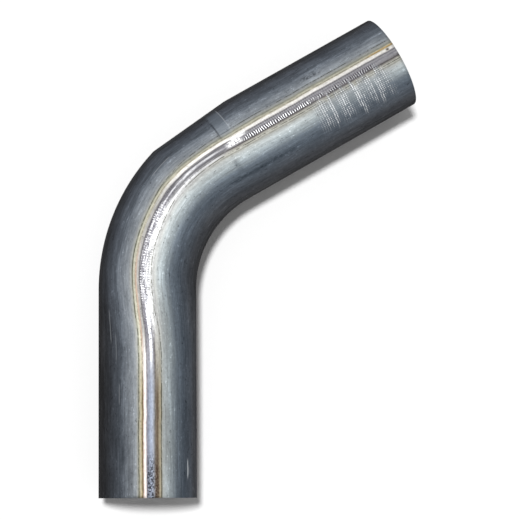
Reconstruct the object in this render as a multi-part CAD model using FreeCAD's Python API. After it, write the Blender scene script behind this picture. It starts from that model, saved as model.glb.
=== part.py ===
import FreeCAD, Part
import math
import os

# A 60 degree elbow, bent cold over a mandrel from one length of seam-welded steel tube.
# It lies on its side: the bend is in the XY plane and +Z is up. The origin is the centre of
# the lower leg's cut end, and the lower leg runs along +Y from there.

# Tube, in millimetres
outside_diameter = 63.5
wall = 1.65

# Bend and legs. The radius is to the tube's centre line.
bend_radius = 101.6
bend_angle = 60.0
lower_leg = 135.0
upper_leg = 129.0

# The outside of the bend is pulled straight between the mandrel's tip and the clamp die: the
# angle before the bend's end where this flat starts, and how far up the upper leg it ends
flat_start_before_end = 17.0
flat_runout = 18.0

# Seam. Its angle is from straight up, positive towards the inside of the bend. It is steady
# along each end of the tube and through the bend, and drifts over two lengths between them:
# one starts before the bend, and one ends where the upper leg starts.
seam_angle_lower = -3.0
seam_angle_bend = -12.0
seam_angle_upper = -7.0
first_drift_before_bend = 45.0
first_drift_length = 60.0
last_drift_length = 50.0

# Weld metal between the strip's two edges, planed off outside, with a low bead inside that
# stands a little into the bore at its edges and more at its crest
weld_face_width = 4.2
weld_root_width = 2.8
bead_edge = 0.06
bead_height = 0.2
scarf_width = 8.0

# Longest steps between the sections of the lofts, along the flat, along the seam through its
# drifts and the bend, and along its straight ends
flat_step = 14.0
curved_seam_step = 9.0
straight_seam_step = 22.0

# How far a cutting solid stands past what it cuts
overrun = 1.0

outer_radius = outside_diameter / 2
bore_radius = outer_radius - wall
bend_length = math.radians(bend_angle) * bend_radius
upper_tangent = lower_leg + bend_length
tube_length = upper_tangent + upper_leg

# The flat, as a chord of the bend's outside: the turn that it cuts short, and its slope to the
# upper leg
outside_of_bend = bend_radius + outer_radius
flat_turn = math.radians(flat_start_before_end)
flat_rise = outside_of_bend * (1 - math.cos(flat_turn))
flat_reach = outside_of_bend * math.sin(flat_turn) + flat_runout
flat_slope = math.atan(flat_rise / flat_reach)
flat_start = upper_tangent - flat_turn * bend_radius
flat_end = upper_tangent + flat_runout
up = FreeCAD.Vector(0, 0, 1)


def smooth_step(value):
    """0 below 0, 1 above 1, and an even S between them."""
    value = min(max(value, 0.0), 1.0)
    return value * value * (3 - 2 * value)


def station(distance):
    """A point of the centre line at a distance from the lower end, the line's direction
    there, and the direction towards the inside of the bend."""
    turn = min(max(distance - lower_leg, 0.0), bend_length) / bend_radius
    along = FreeCAD.Vector(math.sin(turn), math.cos(turn), 0)
    inward = FreeCAD.Vector(math.cos(turn), -math.sin(turn), 0)
    bend_centre = FreeCAD.Vector(bend_radius, lower_leg, 0)
    before_bend = min(distance - lower_leg, 0.0)
    past_bend = max(distance - upper_tangent, 0.0)
    point = bend_centre - inward * bend_radius + along * (before_bend + past_bend)
    return point, along, inward


def sink(distance):
    """How far the flat brings the outside of the bend towards the centre line."""
    if distance <= flat_start or distance >= flat_end:
        return 0.0
    if distance >= upper_tangent:
        return (flat_end - distance) * math.tan(flat_slope)
    turn_left = (upper_tangent - distance) / bend_radius
    chord = math.cos(flat_turn - flat_slope) / math.cos(turn_left - flat_slope)
    return outside_of_bend * (1 - chord)


def seam_angle(distance):
    """The seam's angle from straight up, in radians."""
    first_start = lower_leg - first_drift_before_bend
    last_start = upper_tangent - last_drift_length
    first_share = smooth_step((distance - first_start) / first_drift_length)
    last_share = smooth_step((distance - last_start) / last_drift_length)
    angle = seam_angle_lower + (seam_angle_bend - seam_angle_lower) * first_share
    return math.radians(angle + (seam_angle_upper - seam_angle_bend) * last_share)


def seam_directions(distance):
    """The centre line's point, the direction out through the seam and the one across it."""
    point, along, inward = station(distance)
    angle = seam_angle(distance)
    outward = up * math.cos(angle) + inward * math.sin(angle)
    across = inward * math.cos(angle) - up * math.sin(angle)
    return point, outward, across


def distances(start, end, longest_step):
    """Evenly spaced distances from one point of the centre line to another."""
    count = max(1, math.ceil((end - start) / longest_step))
    return [start + (end - start) * i / count for i in range(count + 1)]


def quarter(centre, first, last):
    """A quarter of an ellipse about a centre, from one half axis to the other."""
    curve = Part.BezierCurve()
    curve.setPoles([centre + first, centre + first + last, centre + last])
    curve.setWeight(2, math.sqrt(0.5))
    return curve.toShape()


def round_section(distance, radius):
    """The tube's section at one radius: half a circle on the inside of the bend, and half an
    ellipse on its outside, which is shorter by the sink."""
    centre, along, inward = station(distance)
    inside = inward * radius
    outside = -inward * (radius - sink(distance))
    top = up * radius
    corners = [top, inside, -top, outside, top]
    return Part.Wire([quarter(centre, a, b) for a, b in zip(corners, corners[1:])])


def straight_bar(start, end, radius):
    """A solid round bar along a straight stretch of the centre line."""
    point, along, inward = station(start)
    return Part.makeCylinder(radius, end - start, point, along)


def even_bend(radius):
    """A solid round bar through the even part of the bend, before the flat."""
    point, along, inward = station(lower_leg)
    bend_centre = point + inward * bend_radius
    face = Part.Face(Part.Wire(Part.makeCircle(radius, point, along)))
    return face.revolve(bend_centre, -up, bend_angle - flat_start_before_end)


def flat_bend(radius):
    """A solid bar through the rest of the bend, to where the flat ends."""
    stops = distances(flat_start, upper_tangent, flat_step)
    stops += distances(upper_tangent, flat_end, flat_step)[1:]
    return Part.makeLoft([round_section(stop, radius) for stop in stops], True)


def bar(radius):
    """The whole tube's form at one radius, as a solid."""
    lower = straight_bar(0, lower_leg, radius)
    upper = straight_bar(flat_end, tube_length, radius)
    return lower.fuse([even_bend(radius), flat_bend(radius), upper])


def seam_stops():
    """Sections along the seam, from just short of the lower end to just past the upper."""
    first_drift = lower_leg - first_drift_before_bend
    stops = distances(-overrun, first_drift, straight_seam_step)
    stops += distances(first_drift, upper_tangent, curved_seam_step)[1:]
    stops += distances(upper_tangent, tube_length + overrun, straight_seam_step)[1:]
    return stops


def radius_at_seam(distance, radius):
    """How far the tube's surface is from the centre line at the seam, also on the flat."""
    angle = seam_angle(distance)
    reach = radius - sink(distance) if angle < 0 else radius
    return 1 / math.hypot(math.cos(angle) / radius, math.sin(angle) / reach)


def weld_section(distance):
    """The weld's section: a wedge that is wider outside, with a crowned bead in the bore."""
    point, outward, across = seam_directions(distance)
    bore = radius_at_seam(distance, bore_radius)
    root = point + outward * (bore - bead_edge)
    face = point + outward * (bore + wall + overrun)
    crest = point + outward * (bore - bead_height)
    flare = (weld_face_width - weld_root_width) / wall
    root_half = across * (weld_root_width / 2)
    face_half = root_half + across * (flare * (bead_edge + wall + overrun) / 2)
    sides = [
        Part.makeLine(root + root_half, face + face_half),
        Part.makeLine(face + face_half, face - face_half),
        Part.makeLine(face - face_half, root - root_half),
        Part.Arc(root - root_half, crest, root + root_half).toShape(),
    ]
    return Part.Wire(sides)


def scarf_section(distance):
    """What the planing tool takes off over the seam: all that stands past a flat."""
    point, outward, across = seam_directions(distance)
    outer = radius_at_seam(distance, outer_radius)
    flat = point + outward * math.sqrt(outer ** 2 - (scarf_width / 2) ** 2)
    half = across * (scarf_width / 2 + overrun)
    rise = outward * overrun
    corners = [flat - half, flat + half, flat + half + rise, flat - half + rise, flat - half]
    return Part.makePolygon(corners)


def along_seam(section):
    """A solid of one section, carried along the seam."""
    return Part.makeLoft([section(stop) for stop in seam_stops()], True)


def seam_weld(weld_strip, scarf):
    """The weld metal, cut to the tube's length and planed off outside."""
    return weld_strip.common(bar(outer_radius)).cut(scarf)


def tube_wall(weld_strip, scarf):
    """The rolled strip: the bent tube, open along the seam where the weld metal is."""
    return bar(outer_radius).cut(bar(bore_radius)).cut(weld_strip).cut(scarf)


def main():
    os.makedirs("parts", exist_ok=True)
    weld_strip = along_seam(weld_section)
    scarf = along_seam(scarf_section)
    parts = {
        "tube_wall": tube_wall(weld_strip, scarf),
        "seam_weld": seam_weld(weld_strip, scarf),
    }
    for name, shape in parts.items():
        if not shape.isValid() or len(shape.Solids) != 1:
            raise RuntimeError(name + " is not one sound solid")
        shape.Solids[0].exportStep("parts/" + name + ".step")
        print(name, round(shape.Volume, 1), "mm3,", len(shape.Faces), "faces")


main()
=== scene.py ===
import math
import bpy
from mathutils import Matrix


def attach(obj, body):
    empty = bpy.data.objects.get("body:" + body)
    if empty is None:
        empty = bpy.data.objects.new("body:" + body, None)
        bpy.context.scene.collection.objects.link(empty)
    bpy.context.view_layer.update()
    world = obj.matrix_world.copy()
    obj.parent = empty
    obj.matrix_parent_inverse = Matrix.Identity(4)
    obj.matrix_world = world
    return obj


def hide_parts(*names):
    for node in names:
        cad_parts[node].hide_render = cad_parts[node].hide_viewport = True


bl_info = {
    "name": "Flue Elbow",
    "version": (1, 0, 0),
    "blender": (4, 5, 0),
    "location": "3D View > Sidebar > Flue Elbow",
    "description": "A seam-welded steel tube elbow, bent over a mandrel and lying on its side",
    "category": "Add Mesh",
}

import bmesh
import bpy
from bpy.props import FloatProperty, FloatVectorProperty, PointerProperty
from mathutils import Vector

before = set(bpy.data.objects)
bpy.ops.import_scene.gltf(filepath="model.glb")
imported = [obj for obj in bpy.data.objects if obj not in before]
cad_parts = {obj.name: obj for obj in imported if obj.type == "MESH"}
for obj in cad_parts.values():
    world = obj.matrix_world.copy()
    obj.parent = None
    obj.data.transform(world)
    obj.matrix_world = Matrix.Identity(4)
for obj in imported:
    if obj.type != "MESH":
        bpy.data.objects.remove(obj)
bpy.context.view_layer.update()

MM = 0.001
SKIN_ATTRIBUTE = "straight_tube"
UV_NAME = "around_and_along"

# Material numbers of the faces in the bore and on the cut ends. The outside's is 0.
BORE, CUT = 1, 2

# Columns round each slab of strip, and rows along it
TUBE_GRID = (224, 186)
WELD_GRID = (14, 1500)

# The share of the tube's columns that are evenly spaced. The rest bunch towards the seam.
EVEN_SHARE = 0.35

# Points closer than this are taken as one
NEAR = 1e-6
SHARP_ANGLE = math.radians(30)

# The planed band across the seam: where its steep side, its floor and its far side start, the
# width of each, and the share of the depth by which the floor rises
PLANED_SIDE = (-4.6 * MM, 2.2 * MM)
PLANED_FLOOR = (-2.4 * MM, 5.9 * MM)
PLANED_BACK = (3.5 * MM, 2.5 * MM)
PLANED_RISE = 0.6

# Chatter on the weld: how far past the bend it starts, how far short of the upper end it
# stops, and the length over which it fades
CHATTER_PAST_BEND = 12 * MM
CHATTER_BEFORE_END = 20 * MM
CHATTER_FADE = 8 * MM

# The crease: how far before the bend's end it starts, the lengths of its lower and upper sides,
# the share of the depth by which its floor rises, and its arc round the tube in degrees from
# straight up, with the fade at each end
CREASE_BEFORE_END = 1.2 * MM
CREASE_SIDES = (0.8 * MM, MM)
CREASE_RISE = 0.55
CREASE_ARC = (-66, -12)
CREASE_ARC_FADES = (8, 6)

# Stage and camera: half the floor's side and the far clip in metres, the sensor in millimetres
FLOOR_HALF = 6
CLIP_END = 20
SENSOR_WIDTH = 36

# Offsets across the seam, in millimetres, that its colours cover and that the mill finish does
SEAM_SPAN = (-10, 12)
MILL_SPAN = (-100, 100)


def share_of(span, offset):
    """How far along a span an offset lies, from 0 to 1."""
    low, high = span
    return (offset - low) / (high - low)


def seam_lines(*lines):
    """Colours and their strength at offsets across the seam, in millimetres."""
    return [(share_of(SEAM_SPAN, offset), (*colour, strength))
            for offset, colour, strength in lines]


# Mill finish round the tube, from underneath on one side of the seam to underneath on the other:
# lighter towards the seam on top as a painted highlight, and darker on the sides as painted shade
MILL_TONES_WITH_PAINTED_LIGHT = [(share_of(MILL_SPAN, offset), (*colour, 1)) for offset, colour in (
    (-78, (0.086, 0.086, 0.087)),
    (-52, (0.055, 0.055, 0.056)),
    (-38, (0.046, 0.046, 0.048)),
    (-30, (0.047, 0.050, 0.056)),
    (-24, (0.060, 0.067, 0.079)),
    (-18.2, (0.078, 0.089, 0.105)),
    (-16.6, (0.120, 0.135, 0.156)),
    (-10, (0.155, 0.168, 0.182)),
    (8, (0.270, 0.286, 0.284)),
    (14, (0.222, 0.250, 0.262)),
    (19, (0.104, 0.124, 0.146)),
    (24, (0.066, 0.080, 0.098)),
    (30, (0.064, 0.073, 0.086)),
    (36, (0.054, 0.057, 0.063)),
    (52, (0.053, 0.053, 0.054)),
    (78, (0.086, 0.086, 0.087)),
)]

# Heat tint, burnished lines and planed weld, across the seam. The bright line near -3 mm, at the
# weld's outer edge, is burnished steel with a painted highlight.
LOWER_SEAM = seam_lines(
    (-8.6, (0.150, 0.158, 0.160), 0.0),
    (-7.2, (0.150, 0.148, 0.130), 0.8),
    (-6.4, (0.060, 0.058, 0.040), 0.9),
    (-5.9, (0.170, 0.158, 0.120), 1.0),
    (-5.0, (0.180, 0.158, 0.112), 1.0),
    (-4.4, (0.110, 0.088, 0.050), 1.0),
    (-3.8, (0.068, 0.046, 0.028), 1.0),
    (-3.1, (0.390, 0.330, 0.300), 1.0),
    (-2.1, (0.380, 0.345, 0.330), 1.0),
    (-1.4, (0.100, 0.092, 0.102), 1.0),
    (-0.4, (0.090, 0.099, 0.120), 1.0),
    (1.4, (0.150, 0.168, 0.212), 1.0),
    (2.4, (0.165, 0.180, 0.212), 1.0),
    (3.4, (0.120, 0.120, 0.128), 1.0),
    (4.3, (0.074, 0.062, 0.050), 1.0),
    (5.7, (0.060, 0.044, 0.030), 1.0),
    (6.5, (0.165, 0.140, 0.100), 1.0),
    (7.4, (0.205, 0.182, 0.135), 1.0),
    (8.0, (0.064, 0.056, 0.036), 0.9),
    (8.7, (0.210, 0.214, 0.196), 0.7),
    (10.5, (0.250, 0.265, 0.268), 0.0),
)
UPPER_SEAM = seam_lines(
    (-9.8, (0.165, 0.175, 0.185), 0.0),
    (-8.8, (0.150, 0.158, 0.165), 0.8),
    (-7.4, (0.210, 0.212, 0.198), 0.8),
    (-6.4, (0.130, 0.130, 0.098), 0.9),
    (-5.6, (0.262, 0.256, 0.210), 1.0),
    (-4.3, (0.245, 0.230, 0.184), 1.0),
    (-3.6, (0.420, 0.410, 0.390), 1.0),
    (-2.5, (0.430, 0.420, 0.405), 1.0),
    (-1.6, (0.085, 0.080, 0.088), 1.0),
    (-0.6, (0.170, 0.170, 0.178), 1.0),
    (0.6, (0.120, 0.114, 0.128), 1.0),
    (1.4, (0.165, 0.165, 0.174), 1.0),
    (2.6, (0.145, 0.140, 0.148), 1.0),
    (3.9, (0.064, 0.058, 0.062), 1.0),
    (4.7, (0.185, 0.180, 0.160), 1.0),
    (6.2, (0.290, 0.288, 0.262), 1.0),
    (7.1, (0.170, 0.168, 0.145), 0.9),
    (8.0, (0.280, 0.286, 0.272), 0.8),
    (10.5, (0.250, 0.265, 0.268), 0.0),
)

# Colours of the marks on the outside, the bore and the cut ends
LINE_BROWN = (0.022, 0.023, 0.012, 1)
RUBBED_HIGHLIGHT_GREY = (0.165, 0.168, 0.176, 1)
RUBBED_SPECK = (0.06, 0.06, 0.065, 1)
WELD_DARK = (0.050, 0.046, 0.058, 1)
WELD_SHINE = (0.36, 0.36, 0.37, 1)
WELD_STREAK = (0.42, 0.43, 0.45, 1)
WELD_SPECK = (0.024, 0.023, 0.028, 1)
HIGHLIGHT_SPOT_WHITE = (0.70, 0.70, 0.70, 1)
CHATTER_GROUND = (0.026, 0.023, 0.030, 1)
JAW_GROUND = (0.095, 0.112, 0.132, 1)
SCRATCH_LIGHT = (0.60, 0.62, 0.64, 1)
BORE_SCALE = (0.480, 0.475, 0.470, 1)
BORE_STRAW = (0.250, 0.180, 0.110, 1)
BEAD_BLUE = (0.200, 0.230, 0.300, 1)
CUT_DARK = (0.16, 0.165, 0.175, 1)
EDGE_ON_TINT = (0.12, 0.12, 0.13, 1)

# Single marks, in millimetres: the offsets across the seam, the distances along it, how softly
# the mark fades across and along, its colour and its strength
HEAT_MARKS = (
    ((-4.6, -3.4), (92, 155), (0.4, 12.0), (0.21, 0.140, 0.105, 1), 0.6),
    ((-5.3, -4.2), (352, 376), (0.3, 6.0), (0.30, 0.20, 0.075, 1), 0.8),
    ((-3.6, -2.2), (364.4, 366.4), (0.4, 0.7), (0.03, 0.02, 0.012, 1), 0.9),
)
CHAR_MARKS = (
    ((-1.4, 3.4), (-20, 25), (0.6, 9.0), (0.016, 0.018, 0.022, 1), 1.0),
    ((3.6, 6.4), (-20, 24), (0.6, 9.0), (0.024, 0.013, 0.009, 1), 0.85),
)
# The crease: painted light on its floor, a painted shade line at its lower edge and a painted
# highlight line at its lip, then a dark line on the bend's inside
CREASE_PAINTED_LIGHT = ((-31, -7), (241.2, 248.8), (4.0, 1.0), (0.145, 0.168, 0.195, 1), 0.45)
CREASE_SHADE_HIGHLIGHT_LINES = (
    ((-22, -8), (240.3, 241.1), (5.0, 0.5), (0.016, 0.020, 0.026, 1), 0.7),
    ((-32, -10), (248.9, 249.4), (4.0, 0.35), (0.30, 0.32, 0.34, 1), 0.7),
    ((11, 20), (239.0, 243.0), (3.0, 2.0), (0.04, 0.048, 0.058, 1), 0.45),
)
INNER_SMUDGE = ((23.0, 26.0), (230, 284), (1.2, 10.0), (0.024, 0.031, 0.039, 1), 0.6)
OUTER_SMUDGE = ((-15.5, -12.0), (304, 320), (1.5, 5.0), (0.030, 0.034, 0.040, 1), 0.7)

# Dark lines at the tint's and the weld's edges: the offset across the seam before and after
# the line drifts, the distances between which it drifts, and its strength
EDGE_LINES = (
    (-6.5, -8.8, (185, 235), 1.0),
    (-4.0, -4.6, (80, 110), 0.6),
    (3.9, 3.6, (80, 110), 0.6),
    (8.1, 5.8, (92, 130), 1.0),
)

# Parallel lines on the weld past the bend's middle: the offsets across the seam, and the tone
BEND_LINES = (
    ((-1.2, -0.1), 0.055),
    ((0.5, 1.2), 0.420),
    ((1.9, 3.0), 0.070),
    ((4.0, 5.2), 0.360),
)

# Scratches along the tube: the offset across the seam, the distances along it, and the strength
SCRATCHES = (
    (28.9, (13, 24), 0.8),
    (29.9, (15, 20), 0.3),
    (-26.6, (100, 120), 0.2),
    (-22.4, (88, 104), 0.12),
    (-20.0, (60, 72), 0.12),
    (-17.5, (198, 212), 0.25),
)
SCRATCH_HALF_WIDTH = 0.3


class TubeSizes(bpy.types.PropertyGroup):
    outside_diameter: FloatProperty(
        name="Outside diameter", description="Outside diameter of the tube",
        default=0.0635, min=0.01, unit="LENGTH")
    wall: FloatProperty(
        name="Wall", description="Thickness of the steel strip",
        default=0.00165, min=0.0005, unit="LENGTH")
    bend_radius: FloatProperty(
        name="Bend radius", description="Radius of the bend, to the tube's centre line",
        default=0.1016, min=0.03, unit="LENGTH")
    bend_angle: FloatProperty(
        name="Bend angle", description="How far the tube turns",
        default=math.radians(60), min=0.1, subtype="ANGLE")
    lower_leg: FloatProperty(
        name="Lower leg", description="Straight length before the bend",
        default=0.135, min=0.01, unit="LENGTH")
    upper_leg: FloatProperty(
        name="Upper leg", description="Straight length after the bend",
        default=0.129, min=0.01, unit="LENGTH")
    flat_before_end: FloatProperty(
        name="Flat before the bend's end",
        description="Angle before the bend's end where its outside is pulled straight",
        default=math.radians(17), min=0.01, subtype="ANGLE")
    flat_runout: FloatProperty(
        name="Flat's runout", description="How far up the upper leg the straight stretch ends",
        default=0.018, min=0.001, unit="LENGTH")
    crease_depth: FloatProperty(
        name="Crease depth", description="Depth of the crease outside the bend, at its end",
        default=0.00014, min=0.0, unit="LENGTH")
    crease_length: FloatProperty(
        name="Crease length", description="Length of the crease along the tube",
        default=0.0082, min=0.002, unit="LENGTH")
    end_edge: FloatProperty(
        name="End edge", description="Width of the worn edge round each cut end",
        default=0.00018, min=0.0, unit="LENGTH")


class SeamSizes(bpy.types.PropertyGroup):
    lower_angle: FloatProperty(
        name="Angle, lower leg",
        description="Seam's angle from straight up, positive towards the inside of the bend",
        default=math.radians(-3), subtype="ANGLE")
    bend_angle: FloatProperty(
        name="Angle, bend", description="Seam's angle from straight up in the bend",
        default=math.radians(-12), subtype="ANGLE")
    upper_angle: FloatProperty(
        name="Angle, upper leg", description="Seam's angle from straight up on the upper leg",
        default=math.radians(-7), subtype="ANGLE")
    first_drift_before_bend: FloatProperty(
        name="First drift before the bend",
        description="How far before the bend the seam starts to drift",
        default=0.045, min=0.0, unit="LENGTH")
    first_drift_length: FloatProperty(
        name="First drift", description="Length over which the seam drifts into the bend",
        default=0.060, min=0.001, unit="LENGTH")
    last_drift_length: FloatProperty(
        name="Last drift", description="Length over which it drifts back, up to the bend's end",
        default=0.050, min=0.001, unit="LENGTH")
    face_width: FloatProperty(
        name="Weld width outside", description="Width of the weld metal at the outside",
        default=0.0042, min=0.0005, unit="LENGTH")
    root_width: FloatProperty(
        name="Weld width in the bore", description="Width of the weld metal at the bore",
        default=0.0028, min=0.0005, unit="LENGTH")
    bead_height: FloatProperty(
        name="Bead height", description="How far the inner bead stands into the bore",
        default=0.00020, min=0.0, unit="LENGTH")
    planed_depth: FloatProperty(
        name="Planed depth", description="Depth of the band planed along the seam",
        default=0.00030, min=0.0, unit="LENGTH")
    chatter_pitch: FloatProperty(
        name="Chatter pitch", description="Distance between the planing tool's marks",
        default=0.0016, min=0.0004, unit="LENGTH")
    chatter_depth: FloatProperty(
        name="Chatter depth", description="Depth of the planing tool's marks on the weld",
        default=0.00003, min=0.0, unit="LENGTH")


def colour_property(name, description, default):
    return FloatVectorProperty(name=name, description=description, default=default,
                               subtype="COLOR", size=3, min=0.0, max=1.0)


class Colours(bpy.types.PropertyGroup):
    mill: colour_property("Mill tint", "Tint over the whole mill finish", (1.0, 1.0, 1.0))
    # The burnished colour is painted on the rubbed band through the bend, where it also stands in
    # for the highlight
    burnished: colour_property(
        "Burnished", "Steel rubbed bright by the bending tools", (0.28, 0.285, 0.29))
    scratched: colour_property(
        "Scratched", "Fresh marks of the planing tool and the clamp", (0.75, 0.76, 0.77))
    bore: colour_property("Bore", "Scale inside the tube", (0.300, 0.304, 0.312))
    cut: colour_property("Cut ends", "Bare metal of the cut ends", (0.40, 0.40, 0.41))


class Light(bpy.types.PropertyGroup):
    lean_up: FloatProperty(
        name="Lamp's lean up the view", description="The lamp's lean from straight overhead",
        default=math.radians(7), subtype="ANGLE")
    lean_left: FloatProperty(
        name="Lamp's lean to the left", description="The lamp's lean from straight overhead",
        default=math.radians(10), subtype="ANGLE")
    spread: FloatProperty(
        name="Lamp's spread", description="The angle that the lamp fills, which softens shadows",
        default=math.radians(7), subtype="ANGLE")
    strength: FloatProperty(
        name="Lamp's strength", description="Light from the lamp on a level surface",
        default=2.6, min=0.0)
    fill: FloatProperty(
        name="Fill", description="Even light from all round", default=0.26, min=0.0)
    view_from: FloatVectorProperty(
        name="Viewpoint", description="Place of the camera",
        default=(-0.12383, 0.00519, 1.55499), subtype="TRANSLATION", unit="LENGTH")
    view_turn: FloatVectorProperty(
        name="View's turn", description="Turn of the camera",
        default=(0.09601, -0.12599, -0.00612), subtype="EULER", unit="ROTATION")
    lens: FloatProperty(
        name="Lens", description="Focal length in millimetres on a 36 mm sensor",
        default=166.15, min=10.0)


def step_up(value, start, width):
    """0 up to the start, 1 from a width past it, and an even S between them."""
    share = min(max((value - start) / width, 0.0), 1.0)
    return share * share * (3 - 2 * share)


class Elbow:
    """The elbow's form: where a point of the flat strip ends up once it is rolled and bent."""

    def __init__(self, tube, seam):
        self.outer = tube.outside_diameter / 2
        self.wall = tube.wall
        self.bore = self.outer - tube.wall
        self.radius = tube.bend_radius
        self.lower_leg = tube.lower_leg
        self.bend_length = tube.bend_angle * tube.bend_radius
        self.upper_tangent = self.lower_leg + self.bend_length
        self.length = self.upper_tangent + tube.upper_leg
        self.outside_of_bend = self.radius + self.outer
        self.flat_turn = tube.flat_before_end
        rise = self.outside_of_bend * (1 - math.cos(self.flat_turn))
        reach = self.outside_of_bend * math.sin(self.flat_turn) + tube.flat_runout
        self.flat_slope = math.atan(rise / reach)
        self.flat_start = self.upper_tangent - self.flat_turn * self.radius
        self.flat_end = self.upper_tangent + tube.flat_runout
        self.seam_lower = seam.lower_angle
        self.seam_bend = seam.bend_angle
        self.seam_upper = seam.upper_angle
        self.first_drift = self.lower_leg - seam.first_drift_before_bend
        self.first_drift_length = seam.first_drift_length
        self.last_drift = self.upper_tangent - seam.last_drift_length
        self.last_drift_length = seam.last_drift_length
        self.face_width = seam.face_width
        self.root_width = seam.root_width
        self.bead_height = seam.bead_height
        self.planed_depth = seam.planed_depth
        self.chatter_pitch = seam.chatter_pitch
        self.chatter_depth = seam.chatter_depth
        self.crease_depth = tube.crease_depth
        self.crease_length = tube.crease_length

    def station(self, distance):
        """The centre line at a distance from the lower end, and the way to the bend's inside."""
        turn = min(max(distance - self.lower_leg, 0.0), self.bend_length) / self.radius
        along = Vector((math.sin(turn), math.cos(turn), 0))
        inward = Vector((math.cos(turn), -math.sin(turn), 0))
        past = min(distance - self.lower_leg, 0.0) + max(distance - self.upper_tangent, 0.0)
        point = Vector((self.radius, self.lower_leg, 0)) - inward * self.radius + along * past
        return point, inward

    def sink(self, distance):
        """How far the flat brings the outside of the bend towards the centre line."""
        if distance <= self.flat_start or distance >= self.flat_end:
            return 0.0
        if distance >= self.upper_tangent:
            return (self.flat_end - distance) * math.tan(self.flat_slope)
        turn_left = (self.upper_tangent - distance) / self.radius
        chord = math.cos(self.flat_turn - self.flat_slope) / math.cos(turn_left - self.flat_slope)
        return self.outside_of_bend * (1 - chord)

    def seam_angle(self, distance):
        """The seam's angle from straight up."""
        first = step_up(distance, self.first_drift, self.first_drift_length)
        last = step_up(distance, self.last_drift, self.last_drift_length)
        angle = self.seam_lower + (self.seam_bend - self.seam_lower) * first
        return angle + (self.seam_upper - self.seam_bend) * last

    def planed(self, across):
        """The depth of the planed band at an offset from the seam: steep on the outer side of
        the bend, and a long shallow floor on the other."""
        down = step_up(across, *PLANED_SIDE)
        floor = 1 - PLANED_RISE * step_up(across, *PLANED_FLOOR)
        back = 1 - step_up(across, *PLANED_BACK)
        return self.planed_depth * down * floor * back

    def chatter(self, distance):
        """The depth of the planing tool's marks on the weld's upper stretch."""
        start = self.upper_tangent + CHATTER_PAST_BEND
        end = self.length - CHATTER_BEFORE_END
        share = step_up(distance, start, CHATTER_FADE) * step_up(end - distance, 0, CHATTER_FADE)
        wave = 0.5 - 0.5 * math.sin(math.tau * distance / self.chatter_pitch)
        return self.chatter_depth * share * wave

    def crease_edges(self):
        """Distances of the crease's edges: down at its lower edge, and back up to its upper."""
        lower_side, upper_side = CREASE_SIDES
        start = self.upper_tangent - CREASE_BEFORE_END
        lip = start + self.crease_length
        return start, start + lower_side, lip, lip + upper_side

    def crease(self, angle, distance):
        """The depth of the crease where the clamp ended, outside the bend."""
        turned = math.degrees(angle + self.seam_angle(distance))
        start, end = CREASE_ARC
        start_fade, end_fade = CREASE_ARC_FADES
        round_it = step_up(turned, start, start_fade) * step_up(end - turned, 0, end_fade)
        lower, floor, lip, upper = self.crease_edges()
        down = step_up(distance, lower, floor - lower)
        rise = min(max((distance - floor) / (lip - floor), 0.0), 1.0)
        back = step_up(upper - distance, 0, upper - lip)
        return self.crease_depth * round_it * down * back * (1 - CREASE_RISE * rise)

    def place(self, angle, distance, radius):
        """Where a point of the straight tube lies on the bent one. Its angle is from the seam."""
        centre, inward = self.station(distance)
        turned = angle + self.seam_angle(distance)
        sideways = radius * math.sin(turned)
        if sideways < 0:
            sideways *= (radius - self.sink(distance)) / radius
        return centre + inward * sideways + Vector((0, 0, radius * math.cos(turned)))


def flat_strip(columns, rows, length):
    """A slab of flat strip, 2 wide, from 0 to its length along Y, and from 0 to 1 thick."""
    slab = bmesh.new()
    bmesh.ops.create_grid(slab, x_segments=columns, y_segments=rows, size=1)
    bmesh.ops.scale(slab, vec=(1, length / 2, 1), verts=slab.verts)
    bmesh.ops.translate(slab, vec=(0, length / 2, 0), verts=slab.verts)
    raised = bmesh.ops.extrude_face_region(slab, geom=slab.faces[:])["geom"]
    raised = [part for part in raised if isinstance(part, bmesh.types.BMVert)]
    bmesh.ops.translate(slab, vec=(0, 0, 1), verts=raised)
    for face in slab.faces:
        middle = face.calc_center_median()
        if min(middle.y, length - middle.y) < NEAR:
            face.material_index = CUT
        elif middle.z < NEAR:
            face.material_index = BORE
    return slab


def rows_at(slab, distances):
    """Adds rows of points to a flat slab at some distances along it."""
    for distance in distances:
        parts = slab.verts[:] + slab.edges[:] + slab.faces[:]
        bmesh.ops.bisect_plane(slab, geom=parts, dist=NEAR, plane_co=(0, distance, 0),
                               plane_no=(0, 1, 0))


def worn_ends(slab, width):
    """Takes the sharp edges off the cut ends of a rolled slab."""
    bmesh.ops.recalc_face_normals(slab, faces=slab.faces)
    rims = []
    for edge in slab.edges:
        sides = {face.material_index for face in edge.link_faces}
        if CUT in sides and len(sides) == 2:
            rims.append(edge)
    bmesh.ops.bevel(slab, geom=rims, offset=width, offset_type="OFFSET", segments=2,
                    profile=0.5, affect="EDGES", material=-1, clamp_overlap=True)


def spread(share):
    """Bunches the strip's columns towards the seam, where the finish is finest."""
    return EVEN_SHARE * share + (1 - EVEN_SHARE) * share ** 3


def roll_and_bend(slab, elbow, angle_of, radius_of):
    """Rolls a flat slab round the tube's centre line, bends it, and keeps each point's place on
    the straight tube, with the seam on top, for the finish to follow."""
    layer = slab.verts.layers.float_vector.new(SKIN_ATTRIBUTE)
    flat = slab.loops.layers.uv.new(UV_NAME)
    for vertex in slab.verts:
        share, distance, raised = vertex.co
        angle = angle_of(share, raised)
        for loop in vertex.link_loops:
            loop[flat].uv = (angle * elbow.outer, distance)
        radius = radius_of(angle, distance, raised)
        vertex[layer] = (radius * math.sin(angle), distance, radius * math.cos(angle))
        vertex.co = elbow.place(angle, distance, radius)


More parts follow.
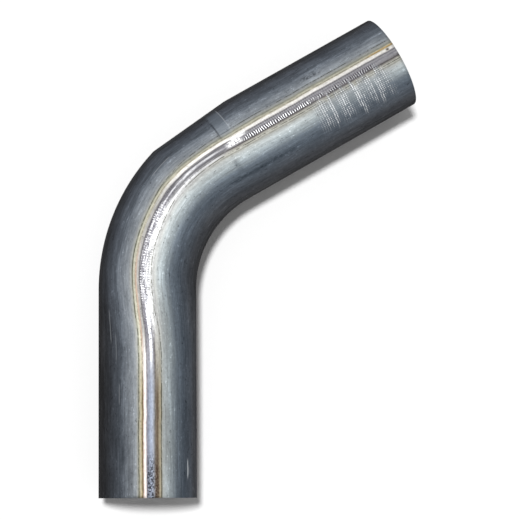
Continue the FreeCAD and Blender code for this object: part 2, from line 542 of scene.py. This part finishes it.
def finished(name, slab, materials):
    """The piece's object, with outward normals, smooth faces and sharp cut ends."""
    bmesh.ops.recalc_face_normals(slab, faces=slab.faces)
    mesh = bpy.data.meshes.new(name)
    slab.to_mesh(mesh)
    slab.free()
    for material in materials:
        mesh.materials.append(material)
    mesh.shade_smooth()
    mesh.set_sharp_from_angle(angle=SHARP_ANGLE)
    piece = bpy.data.objects.new(name, mesh)
    bpy.context.scene.collection.objects.link(piece)
    return piece


class Finish:
    """A material's shader nodes, added one at a time."""

    def __init__(self, name):
        self.material = bpy.data.materials.new(name)
        self.material.use_nodes = True
        self.tree = self.material.node_tree
        self.tree.nodes.clear()

    def node(self, kind, settings=None, **inputs):
        """Adds a node. Each input, by its name with _ for a space, takes a value or a socket."""
        made = self.tree.nodes.new("ShaderNode" + kind)
        for name, value in (settings or {}).items():
            setattr(made, name, value)
        for name, value in inputs.items():
            self.feed(made.inputs[name.replace("_", " ")], value)
        return made

    def feed(self, socket, value):
        if isinstance(value, bpy.types.NodeSocket):
            self.tree.links.new(value, socket)
        else:
            socket.default_value = value

    def math(self, operation, *values):
        made = self.node("Math", {"operation": operation})
        for socket, value in zip(made.inputs, values):
            self.feed(socket, value)
        return made.outputs[0]

    def times(self, *values):
        product = values[0]
        for value in values[1:]:
            product = self.math("MULTIPLY", product, value)
        return product

    def changed(self, share, change):
        """1 where the share is 0, and 1 plus the change where it is 1."""
        return self.math("MULTIPLY_ADD", share, change, 1.0)

    def fade(self, value, start, end, low=0.0, high=1.0):
        """A smooth change from low at start to high at end."""
        made = self.node("MapRange", {"interpolation_type": "SMOOTHSTEP"}, Value=value,
                         From_Min=start, From_Max=end, To_Min=low, To_Max=high)
        return made.outputs[0]

    def band(self, value, start, end, soft):
        """1 from start to end, with soft edges."""
        return self.times(self.fade(value, start - soft, start + soft),
                          self.fade(value, end + soft, end - soft))

    def noise(self, vector, detail=2.0, roughness=0.5):
        made = self.node("TexNoise", Vector=vector, Scale=1.0, Detail=detail,
                         Roughness=roughness)
        return made.outputs["Fac"]

    def stretched(self, vector, across, along):
        """The vector with its own scale round the tube and along it."""
        made = self.node("Mapping", Vector=vector, Scale=(across, along, across))
        return made.outputs["Vector"]

    def ramp(self, value, stops):
        """Colours, with their strength as a fourth number, at values from 0 to 1."""
        made = self.node("ValToRGB", Fac=value)
        elements = made.color_ramp.elements
        for number, (place, colour) in enumerate(stops):
            stop = elements[number] if number < 2 else elements.new(place)
            stop.position = place
            stop.color = colour
        return made

    def blend(self, share, first, second, mode="MIX"):
        made = self.node("Mix", {"data_type": "RGBA", "blend_type": mode})
        for number, value in ((0, share), (6, first), (7, second)):
            self.feed(made.inputs[number], value)
        return made.outputs[2]

    def spanned(self, value, low, high):
        """The value as a share of the way from low to high."""
        return self.math("DIVIDE", self.math("SUBTRACT", value, low), high - low)

    def scaled(self, colour, share):
        made = self.node("VectorMath", {"operation": "SCALE"}, Vector=colour, Scale=share)
        return made.outputs[0]

    def show(self, shader):
        output = self.node("OutputMaterial")
        self.tree.links.new(shader.outputs[0], output.inputs["Surface"])
        return self.material


class SteelSkin(Finish):
    """A finish that knows where it is on the straight tube, in millimetres: along it from the
    lower end, and across it from the seam, positive towards the inside of the bend."""

    def __init__(self, name, outer):
        super().__init__(name)
        place = self.node("Attribute", {"attribute_name": SKIN_ATTRIBUTE}).outputs["Vector"]
        self.place = self.scaled(place, 1 / MM)
        self.parts = self.node("SeparateXYZ", Vector=self.place).outputs
        self.along = self.parts["Y"]
        turn = self.math("ARCTAN2", self.parts["X"], self.parts["Z"])
        self.across = self.times(turn, outer / MM)
        self.colour = None
        self.height = 0.0

    def patches(self, across, along, **settings):
        """Noise with so many patches to a millimetre across the tube and along it."""
        return self.noise(self.stretched(self.place, across, along), **settings)

    def zone(self, across, along, soft):
        """1 between two offsets across the seam and two distances along it, with edges as soft
        across and along as given."""
        return self.zone_at(self.across, across, along, soft)

    def zone_at(self, place, across, along, soft):
        """The same with the offset across the seam given, such as one with a ragged edge."""
        soft_across, soft_along = soft
        return self.times(self.band(place, *across, soft_across),
                          self.band(self.along, *along, soft_along))

    def ticks(self, value, pitch, start):
        """Short lines at an even pitch. The lower the start, from 0.95 to -1, the wider."""
        wave = self.math("SINE", self.times(value, math.tau / pitch))
        return self.fade(wave, start, 0.95)

    def swing(self, pattern, strength, middle=1.0):
        """The middle value, more or less by the pattern."""
        return self.math("MULTIPLY_ADD", pattern, strength, middle - strength / 2)

    def paint(self, share, colour, strength=1.0):
        """Lays a colour over the finish so far."""
        if strength != 1.0:
            share = self.times(share, strength)
        self.colour = self.blend(share, self.colour, colour)

    def mark(self, across, along, soft, colour, strength, *patterns):
        """Paints a zone, where the patterns leave it."""
        self.paint(self.times(self.zone(across, along, soft), *patterns), colour, strength)

    def emboss(self, pattern, depth):
        """Raises the finish by a pattern, in millimetres."""
        self.height = self.math("MULTIPLY_ADD", pattern, depth, self.height)

    def steel(self, roughness, grain_way):
        """Drawn steel: its highlight runs round the tube, and its colour darkens edge-on."""
        bump = self.node("Bump", Height=self.height, Distance=MM)
        tangent = self.node("Tangent", {"direction_type": "UV_MAP", "uv_map": UV_NAME})
        shader = self.node("BsdfPrincipled", Base_Color=self.colour, Roughness=roughness,
                           Metallic=1.0, Anisotropic=grain_way,
                           Tangent=tangent.outputs[0], Normal=bump.outputs[0])
        shader.inputs["Specular Tint"].default_value = EDGE_ON_TINT
        return self.show(shader)


def mill_finish_with_painted_light(skin, tint):
    """Dark drawn steel with streaks and blotches along the tube, painted lighter towards the seam
    on top as a painted highlight and darker on the sides as painted shade, painted lighter up the
    upper leg and on the lower leg's inner side, and darker on the lower leg's outer side.
    """
    streaks = skin.patches(0.75, 0.012, detail=6.0, roughness=0.75)
    bands = skin.patches(0.20, 0.005, detail=2.0)
    cloud = skin.patches(0.09, 0.03, detail=5.0, roughness=0.65)
    blotch = skin.patches(0.30, 0.055, detail=5.0, roughness=0.72)
    grain = skin.patches(0.85, 0.50, detail=3.0, roughness=0.8)
    edge = skin.math("ADD", skin.across, skin.swing(cloud, 5.0, 0.0))
    edge = skin.math("ADD", edge, skin.swing(blotch, 5.0, 0.0))
    # Painted highlight and shade: the tone ramp is lighter near the seam on top and darker on the
    # sides
    tone = skin.ramp(skin.spanned(edge, *MILL_SPAN), MILL_TONES_WITH_PAINTED_LIGHT).outputs["Color"]
    shade = skin.swing(streaks, 0.8)
    for patch, strength in ((bands, 0.4), (grain, 0.7), (cloud, 0.9), (blotch, 1.0)):
        shade = skin.times(shade, skin.swing(patch, strength))
    # Painted light and shade along the tube: lighter up the upper leg and on the lower leg's
    # inner side, darker on the lower leg's outer side
    painted_light_up = skin.fade(skin.along, 100, 260, 0.95, 1.22)
    painted_light_inner_side = skin.times(skin.fade(skin.along, 150, 90), skin.fade(skin.across, 26, 34))
    painted_shade_outer_side = skin.times(skin.fade(skin.along, 125, 75), skin.fade(skin.across, -3, -7))
    shade = skin.times(shade, painted_light_up, skin.changed(painted_light_inner_side, 0.5),
                       skin.changed(painted_shade_outer_side, -0.24))
    skin.colour = skin.blend(1.0, skin.scaled(tone, shade), (*tint, 1), "MULTIPLY")
    skin.emboss(streaks, 0.028)
    skin.emboss(grain, 0.012)
    skin.emboss(blotch, 0.020)


def wandering(skin):
    """The offset across the seam, as the tint's lines wander along it."""
    return skin.math("ADD", skin.across,
                     skin.swing(skin.patches(0.0, 0.04, detail=2.0), 1.6, 0.0))


def seam_tint_and_highlight(skin):
    """Heat tint and burnished lines beside the weld, with a painted highlight on the bright line
    at the weld's outer edge.
    """
    wavy = wandering(skin)
    place = skin.spanned(wavy, *SEAM_SPAN)
    past = skin.fade(skin.along, 62, 104)
    # The ramps carry the heat tint and a painted highlight on the bright line at the weld's edge
    lower = skin.ramp(place, LOWER_SEAM)
    upper = skin.ramp(place, UPPER_SEAM)
    share = skin.node("Mix", Factor=past, A=lower.outputs["Alpha"], B=upper.outputs["Alpha"])
    lines = skin.blend(past, lower.outputs["Color"], upper.outputs["Color"])
    fleck = skin.patches(1.3, 0.14, detail=4.0, roughness=0.85)
    mottle = skin.patches(0.8, 0.45, detail=3.0, roughness=0.85)
    lines = skin.scaled(lines, skin.times(skin.swing(fleck, 1.3), skin.swing(mottle, 1.0)))
    in_bend = skin.times(skin.fade(skin.along, 84, 112), skin.fade(skin.along, 218, 182))
    dimmed = skin.times(in_bend, skin.band(wavy, -4.2, -1.6, 0.5))
    lines = skin.scaled(lines, skin.changed(dimmed, -0.62))
    skin.paint(share.outputs[0], lines)
    for heat in HEAT_MARKS:
        skin.mark(*heat)


def edge_lines(skin):
    """Broken dark lines at the edges of the tint and the weld. Some drift on their way."""
    wavy = wandering(skin)
    broken = skin.fade(skin.patches(0.3, 0.20, detail=3.0, roughness=0.8), 0.42, 0.52)
    for before, after, drift, strength in EDGE_LINES:
        offset = skin.math("SUBTRACT", wavy, skin.fade(skin.along, *drift, before, after))
        line = skin.band(offset, -0.2, 0.2, 0.25)
        skin.paint(skin.times(line, broken), LINE_BROWN, strength)


def end_char(skin):
    """Dark speckled metal at the lower end of the weld."""
    speck = skin.fade(skin.patches(1.1, 0.8, detail=3.0, roughness=0.8), 0.54, 0.47)
    for char in CHAR_MARKS:
        skin.mark(*char, speck)


def rub_and_highlight(skin, colour):
    """Rubbed by the bending tools, with painted highlights: a lighter band beside the weld
    through the bend, partly rubbed steel and partly painted highlight, and a painted highlight
    spot on the weld where the clamp ended. Answers with how far it is rubbed."""
    rub = skin.patches(0.9, 0.06, detail=5.0, roughness=0.8)
    lines = skin.patches(1.2, 0.025, detail=4.0, roughness=0.75)
    speckle = skin.patches(0.85, 0.60, detail=3.0, roughness=0.85)
    edge = skin.math("ADD", skin.across, skin.swing(rub, 6.0, 0.0))
    zone = skin.math("MAXIMUM", skin.zone_at(edge, (-0.4, 6.0), (152, 192), (1.0, 10.0)),
                     skin.zone_at(edge, (0.8, 6.2), (108, 134), (1.0, 8.0)))
    around = skin.zone_at(edge, (0.6, 7.8), (104, 226), (1.4, 16.0))
    zone = skin.math("MAXIMUM", zone, skin.times(around, 0.5))
    share = skin.times(zone, skin.fade(rub, 0.40, 0.54), skin.fade(speckle, 0.34, 0.50))
    # Partly painted highlight: the rubbed grey, the burnished colour and the weld's shine light
    # the band on the bend's inside
    skin.paint(around, RUBBED_HIGHLIGHT_GREY, 0.6)
    skin.paint(share, colour)
    skin.mark((-1.6, 3.0), (98, 238), (0.5, 16.0), WELD_DARK, 0.75,
              skin.fade(lines, 0.53, 0.46))
    skin.mark((-1.2, 4.0), (98, 236), (0.5, 12.0), WELD_SHINE, 0.8,
              skin.fade(lines, 0.54, 0.60))
    skin.mark((0.7, 2.3), (86, 124), (0.4, 9.0), WELD_STREAK, 1.0,
              skin.fade(speckle, 0.38, 0.48))
    rough = skin.times(skin.fade(rub, 0.38, 0.52, 0.45, 0.9),
                       skin.fade(speckle, 0.36, 0.48, 0.5, 1.0))
    for across, tone in BEND_LINES:
        skin.mark(across, (190, 236), (0.3, 9.0), (tone, tone, 1.03 * tone, 1), 1.0, rough)
    skin.mark((-1.9, 2.6), (98, 205), (0.5, 12.0), WELD_SPECK, 0.75,
              skin.fade(speckle, 0.45, 0.39))
    skin.paint(skin.times(zone, skin.fade(speckle, 0.40, 0.34)), RUBBED_SPECK, 0.6)
    # Painted highlight: a white spot on the weld at the crease, where the clamp ended
    spot = skin.math("MAXIMUM", skin.zone_at(edge, (-3.0, -0.6), (245.5, 255.0), (0.6, 3.5)),
                     skin.zone_at(edge, (-0.6, 2.6), (241.5, 251.5), (0.8, 2.5)))
    spot = skin.times(spot, skin.fade(rub, 0.38, 0.48), skin.fade(speckle, 0.40, 0.50))
    skin.paint(spot, HIGHLIGHT_SPOT_WHITE)
    skin.emboss(speckle, 0.010)
    return skin.math("MAXIMUM", share, spot)


def uneven(skin, value, amount):
    """A value that wanders a little along the tube."""
    return skin.math("ADD", value, skin.swing(skin.patches(0.35, 0.22, detail=1.0), amount, 0.0))


def chatter_marks(skin, pitch, bright):
    """Marks of the planing tool across the weld."""
    ticks = skin.ticks(uneven(skin, skin.along, 1.6), pitch, -0.1)
    deep = skin.fade(skin.patches(0.5, 0.15, detail=4.0, roughness=0.75), 0.42, 0.50)
    deep = skin.math("MAXIMUM", deep, skin.band(skin.along, 255, 288, 3.0))
    zone = skin.times(skin.zone((0.7, 3.3), (253, 352), (0.3, 3.0)), deep)
    skin.paint(zone, CHATTER_GROUND, 0.9)
    patchy = skin.patches(0.9, 0.45, detail=4.0, roughness=0.8)
    shine = skin.times(skin.fade(patchy, 0.38, 0.50, 0.25, 1.0),
                       skin.fade(skin.along, 296, 330, 1.0, 0.4))
    skin.paint(skin.times(zone, ticks, shine), bright)
    deep = skin.fade(skin.patches(0.8, 0.16, detail=4.0, roughness=0.75), 0.50, 0.57)
    zone = skin.times(skin.zone((-1.4, 5.0), (116, 188), (0.6, 12.0)), deep)
    skin.paint(skin.times(zone, ticks), bright, 0.5)


def jaw_marks(skin, bright):
    """Marks of the clamp's jaws on the upper leg: uneven rows of short ticks."""
    rows = skin.patches(0.0, 0.19, detail=4.0, roughness=0.8)
    dashes = skin.math("MAXIMUM", skin.ticks(uneven(skin, skin.across, 0.5), 1.25, -0.6),
                       skin.fade(rows, 0.53, 0.60, 0.0, 0.8))
    ticks = skin.times(skin.ticks(uneven(skin, skin.along, 1.0), 1.55, -0.7), dashes)
    in_rows = skin.fade(rows, 0.43, 0.52, 0.1, 1.0)
    worn = skin.fade(skin.patches(0.35, 0.16, detail=5.0, roughness=0.8), 0.40, 0.52, 0.08, 1.0)
    ragged = skin.swing(skin.patches(0.0, 0.18, detail=3.0, roughness=0.7), 28.0, 0.0)
    ragged = skin.math("ADD", skin.across, ragged)
    zone = skin.zone_at(ragged, (6.0, 24.5), (304, 358), (4.0, 6.0))
    skin.paint(zone, JAW_GROUND, 0.55)
    marks = skin.times(zone, worn, in_rows, ticks)
    skin.paint(marks, bright)
    skin.emboss(marks, 0.03)


def crease_light_and_shade(skin):
    """The crease where the clamp ended, on the outside of the bend: painted light on its floor,
    painted shade at its lower edge and a painted highlight at its lip, with a dark line on the
    bend's inside.
    """
    broken = skin.fade(skin.patches(0.15, 0.05, detail=2.0), 0.38, 0.52, 0.25, 1.0)
    skin.mark(*CREASE_PAINTED_LIGHT)
    for line in CREASE_SHADE_HIGHLIGHT_LINES:
        skin.mark(*line, broken)


def wear(skin):
    """Scratches along the tube, light flecks and dark pits, all over."""
    fine = skin.patches(1.2, 0.030, detail=3.0, roughness=0.7)
    fleck = skin.patches(0.55, 0.24, detail=4.0, roughness=0.85)
    pits = skin.fade(fleck, 0.385, 0.335)
    shade = skin.times(skin.fade(fine, 0.575, 0.65, 1.0, 1.3),
                       skin.fade(fine, 0.42, 0.34, 1.0, 0.78),
                       skin.fade(fleck, 0.60, 0.66, 1.0, 1.75),
                       skin.fade(fleck, 0.385, 0.335, 1.0, 0.35))
    skin.colour = skin.scaled(skin.colour, shade)
    skin.emboss(pits, -0.04)
    for offset, along, strength in SCRATCHES:
        across = (offset - SCRATCH_HALF_WIDTH, offset + SCRATCH_HALF_WIDTH)
        skin.mark(across, along, (0.3, 2.0), SCRATCH_LIGHT, strength)
    skin.mark(*INNER_SMUDGE, skin.fade(fleck, 0.60, 0.48))
    skin.mark(*OUTER_SMUDGE, skin.fade(fleck, 0.54, 0.44))


def skin_steel(name, elbow, colours):
    """The outside of the tube and of its weld."""
    skin = SteelSkin(name, elbow.outer)
    scratched = (*colours.scratched, 1)
    mill_finish_with_painted_light(skin, colours.mill)
    wear(skin)
    seam_tint_and_highlight(skin)
    end_char(skin)
    rubbed = rub_and_highlight(skin, (*colours.burnished, 1))
    edge_lines(skin)
    chatter_marks(skin, elbow.chatter_pitch / MM, scratched)
    jaw_marks(skin, scratched)
    crease_light_and_shade(skin)
    return skin.steel(skin.math("MULTIPLY_ADD", rubbed, -0.12, 0.52), 0.55)


def bore_steel(name, elbow, colours):
    """The inside: duller, with patchy scale, and straw and blue heat tint along the bead."""
    skin = SteelSkin(name, elbow.outer)
    scale = skin.patches(0.35, 0.12, detail=4.0, roughness=0.65)
    streaks = skin.patches(0.8, 0.012, detail=4.0, roughness=0.6)
    skin.colour = skin.blend(skin.fade(scale, 0.38, 0.60), (*colours.bore, 1), BORE_SCALE)
    bead = skin.band(skin.across, -1.6, 1.6, 0.3)
    skin.paint(skin.band(skin.across, -6.0, 6.0, 2.0), BORE_STRAW, 0.6)
    skin.paint(bead, BEAD_BLUE, 0.8)
    skin.colour = skin.scaled(skin.colour, skin.swing(streaks, 1.0))
    skin.emboss(scale, 0.04)
    skin.emboss(skin.times(skin.ticks(skin.along, 1.6, -0.8), bead), 0.03)
    return skin.steel(0.6, 0.3)


def cut_steel(name, elbow, colours):
    """The cut ends: bright bare metal with the saw's scratches."""
    skin = SteelSkin(name, elbow.outer)
    sawn = skin.node("CombineXYZ", X=skin.times(skin.parts["X"], 6.0),
                     Y=skin.times(skin.parts["Z"], 0.25)).outputs[0]
    scratches = skin.noise(sawn, detail=4.0, roughness=0.7)
    skin.colour = skin.blend(scratches, CUT_DARK, (*colours.cut, 1))
    skin.emboss(scratches, 0.012)
    return skin.steel(0.38, 0.0)


def steel_set(prefix, elbow, colours):
    """A piece's outside, bore and cut ends, in the order of its faces' material numbers."""
    return [skin_steel(prefix, elbow, colours), bore_steel(prefix + "_bore", elbow, colours),
            cut_steel(prefix + "_cut", elbow, colours)]


class ELBOW_OT_tube(bpy.types.Operator):
    """Roll the strip, bend it and finish it as the tube's wall, open along the seam"""

    bl_idname = "elbow.tube"
    bl_label = "Tube wall"

    def execute(self, context):
        elbow = Elbow(context.scene.elbow_tube, context.scene.elbow_seam)
        slab = flat_strip(*TUBE_GRID, elbow.length)
        rows_at(slab, elbow.crease_edges())
        half_outside = math.asin(elbow.face_width / 2 / elbow.outer)
        half_inside = math.asin(elbow.root_width / 2 / elbow.bore)

        def angle_of(share, raised):
            half = half_inside + (half_outside - half_inside) * raised
            angle = half + (math.pi - half) * spread(1 - abs(share))
            return math.copysign(angle, share)

        def radius_of(angle, distance, raised):
            marks = elbow.planed(angle * elbow.outer) + elbow.crease(angle, distance)
            return elbow.bore + (elbow.wall - marks) * raised

        roll_and_bend(slab, elbow, angle_of, radius_of)
        worn_ends(slab, context.scene.elbow_tube.end_edge)
        steels = steel_set("tube_steel", elbow, context.scene.elbow_colours)
        piece = finished("tube_skin", slab, steels)
        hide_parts("tube_wall")
        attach(piece, "root")
        return {"FINISHED"}


class ELBOW_OT_weld(bpy.types.Operator):
    """Fill the gap between the strip's edges with weld metal, planed outside"""

    bl_idname = "elbow.weld"
    bl_label = "Seam weld"

    def execute(self, context):
        elbow = Elbow(context.scene.elbow_tube, context.scene.elbow_seam)
        slab = flat_strip(*WELD_GRID, elbow.length)

        def angle_of(share, raised):
            width = elbow.root_width + (elbow.face_width - elbow.root_width) * raised
            radius = elbow.bore + elbow.wall * raised
            return math.asin(share * width / 2 / radius)

        def radius_of(angle, distance, raised):
            marks = elbow.planed(angle * elbow.outer) + elbow.chatter(distance)
            edge = (angle * elbow.bore) / (elbow.root_width / 2)
            bead = elbow.bead_height * (1 - raised) * max(0.0, 1 - edge ** 2)
            return elbow.bore + (elbow.wall - marks) * raised - bead

        roll_and_bend(slab, elbow, angle_of, radius_of)
        worn_ends(slab, context.scene.elbow_tube.end_edge)
        steels = steel_set("weld_steel", elbow, context.scene.elbow_colours)
        piece = finished("weld_seam", slab, steels)
        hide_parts("seam_weld")
        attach(piece, "root")
        return {"FINISHED"}


class ELBOW_OT_stage(bpy.types.Operator):
    """Set out the floor, the lamp, the even fill and the camera"""

    bl_idname = "elbow.stage"
    bl_label = "Stage"

    def execute(self, context):
        scene = context.scene
        light = scene.elbow_light
        self.floor(scene.elbow_tube.outside_diameter / 2)
        self.world(scene, light.fill)
        self.lamp(scene, light)
        self.camera(scene, light)
        scene.view_settings.view_transform = "Standard"
        return {"FINISHED"}

    def floor(self, drop):
        sheet = bmesh.new()
        bmesh.ops.create_grid(sheet, x_segments=1, y_segments=1, size=FLOOR_HALF)
        bmesh.ops.translate(sheet, vec=(0, 0, -drop), verts=sheet.verts)
        finish = Finish("floor_white")
        white = finish.show(finish.node("BsdfDiffuse", Color=(1.0, 1.0, 1.0, 1)))
        floor = finished("floor", sheet, [white])

    def world(self, scene, fill):
        world = bpy.data.worlds.new("studio")
        world.use_nodes = True
        scene.world = world
        tree = world.node_tree
        tree.nodes.clear()
        output = tree.nodes.new("ShaderNodeOutputWorld")
        background = tree.nodes.new("ShaderNodeBackground")
        path = tree.nodes.new("ShaderNodeLightPath")
        seen = path.outputs["Is Camera Ray"]
        for name in ("Is Glossy Ray", "Is Transmission Ray"):
            more = tree.nodes.new("ShaderNodeMath")
            more.operation = "MAXIMUM"
            tree.links.new(seen, more.inputs[0])
            tree.links.new(path.outputs[name], more.inputs[1])
            seen = more.outputs[0]
        strength = tree.nodes.new("ShaderNodeMapRange")
        strength.inputs["To Min"].default_value = fill
        tree.links.new(seen, strength.inputs["Value"])
        background.inputs["Color"].default_value = (1, 1, 1, 1)
        tree.links.new(strength.outputs[0], background.inputs["Strength"])
        tree.links.new(background.outputs[0], output.inputs["Surface"])

    def lamp(self, scene, light):
        towards = Vector((-math.tan(light.lean_left), math.tan(light.lean_up), 1))
        lamp = bpy.data.lights.new("overhead_lamp", "SUN")
        lamp.energy = light.strength
        lamp.angle = light.spread
        holder = bpy.data.objects.new("overhead_lamp", lamp)
        holder.rotation_euler = towards.to_track_quat("Z", "Y").to_euler()
        scene.collection.objects.link(holder)

    def camera(self, scene, light):
        lens = bpy.data.cameras.new("camera")
        lens.lens = light.lens
        lens.sensor_width = SENSOR_WIDTH
        lens.clip_end = CLIP_END
        camera = bpy.data.objects.new("camera", lens)
        camera.location = light.view_from
        camera.rotation_euler = light.view_turn
        scene.collection.objects.link(camera)
        scene.camera = camera


class ELBOW_PT_panel(bpy.types.Panel):
    """Sizes, light and pieces of the elbow"""

    bl_idname = "ELBOW_PT_panel"
    bl_label = "Flue Elbow"
    bl_space_type = "VIEW_3D"
    bl_region_type = "UI"
    bl_category = "Flue Elbow"

    def draw(self, context):
        for group_name in GROUPS:
            group = getattr(context.scene, group_name)
            box = self.layout.box()
            for name in group.bl_rna.properties.keys():
                if name not in ("rna_type", "name"):
                    box.prop(group, name)
        for operator in OPERATORS:
            self.layout.operator(operator.bl_idname)


OPERATORS = (ELBOW_OT_tube, ELBOW_OT_weld, ELBOW_OT_stage)
GROUPS = {"elbow_tube": TubeSizes, "elbow_seam": SeamSizes, "elbow_colours": Colours,
          "elbow_light": Light}


def register():
    for group in GROUPS.values():
        bpy.utils.register_class(group)
    for name, group in GROUPS.items():
        setattr(bpy.types.Scene, name, PointerProperty(type=group))
    for operator in OPERATORS:
        bpy.utils.register_class(operator)
    bpy.utils.register_class(ELBOW_PT_panel)


def unregister():
    bpy.utils.unregister_class(ELBOW_PT_panel)
    for operator in reversed(OPERATORS):
        bpy.utils.unregister_class(operator)
    for name, group in GROUPS.items():
        delattr(bpy.types.Scene, name)
        bpy.utils.unregister_class(group)


def main():
    register()
    bpy.ops.elbow.tube()
    bpy.ops.elbow.weld()
    bpy.ops.elbow.stage()


if __name__ == "__main__":
    main()
